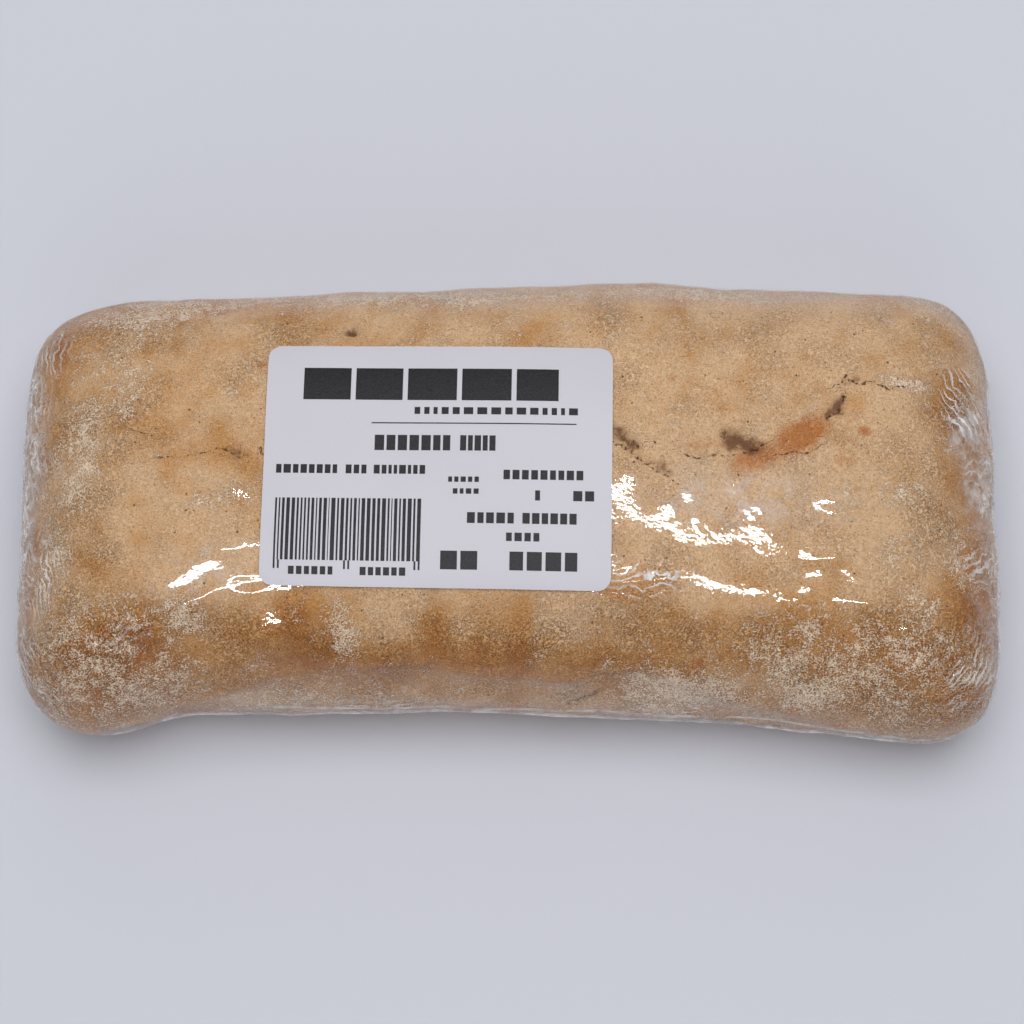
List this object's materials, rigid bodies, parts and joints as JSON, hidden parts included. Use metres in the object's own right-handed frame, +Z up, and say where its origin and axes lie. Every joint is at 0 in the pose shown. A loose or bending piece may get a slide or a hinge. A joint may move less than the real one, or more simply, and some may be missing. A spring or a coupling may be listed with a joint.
{
  "type": "ciabatta roll",
  "caption": "Flat brick-shaped ciabatta roll, wrapped tight in clear stretch film with a plain paper shelf label on top.",
  "frame": {"origin": "middle of the underside of the wrapped roll's box, on the surface it lies on", "axes": "+X along the roll, +Z up, -Y towards the roll's front side, where the waist is"},
  "size_m": [0.1682, 0.0804, 0.039],
  "materials": {
    "crust": "matt floury bread crust, pale tan with browner shoulders",
    "clear_film": "clear glossy stretch film",
    "label_paper": "smooth white thermal paper"
  },
  "bodies": {
    "root": {"loaf": "crust", "stretch_film": "clear_film", "shelf_label": "label_paper"}
  },
  "joints": []
}
